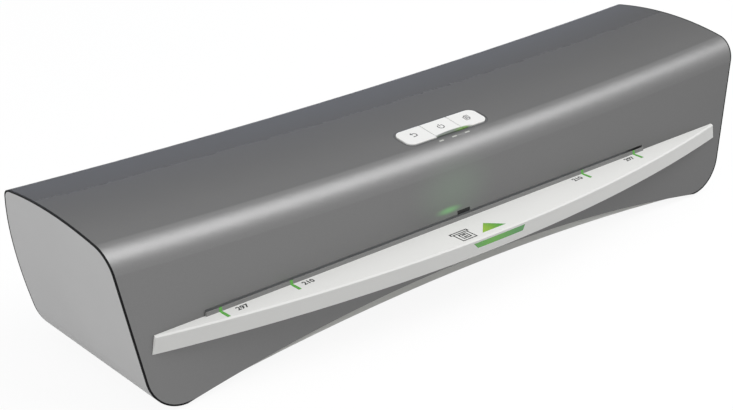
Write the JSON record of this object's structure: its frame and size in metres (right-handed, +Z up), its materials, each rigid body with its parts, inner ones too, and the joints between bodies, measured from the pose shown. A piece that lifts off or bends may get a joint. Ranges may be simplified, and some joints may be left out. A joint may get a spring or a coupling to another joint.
{
  "type": "pouch laminator",
  "caption": "Hot pouch laminator with a dipped metallic cover, light end caps, a bowed white feed tray, push buttons on top and driven rollers inside.",
  "frame": {"origin": "on the table, under the middle of the overall box", "axes": "+X along the length to the right as seen from the feed tray, +Y to the back, +Z up"},
  "size_m": [0.447, 0.1314, 0.0943],
  "materials": {
    "cover_grey": "satin metallic grey",
    "cap_grey": "fine matt grey",
    "seal_black": "matt black",
    "base_grey": "matt light grey",
    "foot_rubber": "matt black",
    "tray_white": "satin white",
    "light_green": "translucent green",
    "lamp_white": "translucent white",
    "frame_black": "matt black",
    "button_white": "satin white",
    "board_green": "solder mask green",
    "steel": "zinc plated",
    "gear_white": "natural acetal",
    "shoe_aluminium": "as extruded",
    "heater_brown": "polyimide film",
    "bush_brass": "sintered bronze",
    "roller_rubber": "silicone rubber"
  },
  "bodies": {
    "housing": {"base_housing": "base_grey", "board_parts": "frame_black", "bracket_screws": "steel", "button_switches": "frame_black", "button_well": "frame_black", "control_board": "board_green", "cord_gland": "foot_rubber", "end_cap_left": "cap_grey", "end_cap_right": "cap_grey", "end_seal_left": "seal_black", "end_seal_right": "seal_black", "exit_bezel": "frame_black", "exit_guides": "frame_black", "feed_guides": "frame_black", "feed_tray": "tray_white", "frame_screws": "steel", "gear_motor": "steel", "heaters": "heater_brown", "heating_shoe_lower": "shoe_aluminium", "heating_shoe_upper": "shoe_aluminium", "hot_bushes": "bush_brass", "hot_springs": "steel", "indicator_lights": "lamp_white", "light_bar": "light_green", "motor_bracket": "steel", "power_board": "board_green", "pull_bushes": "bush_brass", "pull_springs": "steel", "ready_lamp": "light_green", "rubber_feet": "foot_rubber", "sheet_marks": "light_green", "sheet_sensor": "frame_black", "side_frame_left": "steel", "side_frame_right": "steel", "spring_bridge_left": "steel", "spring_bridge_right": "steel", "thermostat": "frame_black", "top_cover": "cover_grey", "tray_arrow": "light_green", "tray_floor": "base_grey"},
    "button_reverse": {"button_reverse": "button_white"},
    "button_power": {"button_power": "button_white"},
    "button_thickness": {"button_thickness": "button_white"},
    "motor_pinion": {"motor_pinion": "gear_white"},
    "hot_carriage": {"hot_blocks": "gear_white"},
    "hot_lower_roller": {"hot_lower_core": "steel", "hot_lower_sleeve": "roller_rubber", "hot_lower_gear": "gear_white"},
    "hot_upper_roller": {"hot_upper_core": "steel", "hot_upper_sleeve": "roller_rubber", "hot_upper_gear": "gear_white"},
    "pull_carriage": {"pull_blocks": "gear_white"},
    "pull_lower_roller": {"pull_lower_core": "steel", "pull_lower_sleeve": "roller_rubber", "pull_lower_gear": "gear_white"},
    "pull_upper_roller": {"pull_upper_core": "steel", "pull_upper_sleeve": "roller_rubber", "pull_upper_gear": "gear_white"}
  },
  "joints": [
    {"name": "reverse_press", "type": "slide", "parent": "housing", "child": "button_reverse", "axis": [0, 0.1405, -0.9901], "range_m": [0, 0.0006], "stiffness_N_per_m": 900},
    {"name": "power_press", "type": "slide", "parent": "housing", "child": "button_power", "axis": [0, 0.1405, -0.9901], "range_m": [0, 0.0006], "stiffness_N_per_m": 900},
    {"name": "thickness_press", "type": "slide", "parent": "housing", "child": "button_thickness", "axis": [0, 0.1405, -0.9901], "range_m": [0, 0.0006], "stiffness_N_per_m": 900},
    {"name": "hot_lower_spin", "type": "hinge", "parent": "housing", "child": "hot_lower_roller", "pos_m": [0, -0.00199, 0.0308], "axis": [1, 0, 0], "continuous": true},
    {"name": "hot_lift", "type": "slide", "parent": "housing", "child": "hot_carriage", "axis": [0, 0, 1], "range_m": [0, 0.0008], "stiffness_N_per_m": 8000, "springref_m": -0.001, "deforming": ["hot_springs"]},
    {"name": "hot_upper_spin", "type": "hinge", "parent": "hot_carriage", "child": "hot_upper_roller", "pos_m": [0, -0.00199, 0.055], "axis": [1, 0, 0], "continuous": true},
    {"name": "pull_lower_spin", "type": "hinge", "parent": "housing", "child": "pull_lower_roller", "pos_m": [0, 0.03302, 0.0308], "axis": [1, 0, 0], "continuous": true},
    {"name": "pull_lift", "type": "slide", "parent": "housing", "child": "pull_carriage", "axis": [0, 0, 1], "range_m": [0, 0.0008], "stiffness_N_per_m": 8000, "springref_m": -0.001, "deforming": ["pull_springs"]},
    {"name": "pull_upper_spin", "type": "hinge", "parent": "pull_carriage", "child": "pull_upper_roller", "pos_m": [0, 0.03302, 0.055], "axis": [1, 0, 0], "continuous": true},
    {"name": "motor_spin", "type": "hinge", "parent": "housing", "child": "motor_pinion", "pos_m": [0, 0.01551, 0.03549], "axis": [1, 0, 0], "continuous": true}
  ],
  "couplings": [
    {"joint": "pull_lower_spin", "follows": "hot_lower_spin", "ratio": 1},
    {"joint": "hot_upper_spin", "follows": "hot_lower_spin", "ratio": -1},
    {"joint": "pull_upper_spin", "follows": "hot_lower_spin", "ratio": -1},
    {"joint": "motor_spin", "follows": "hot_lower_spin", "ratio": -2}
  ]
}
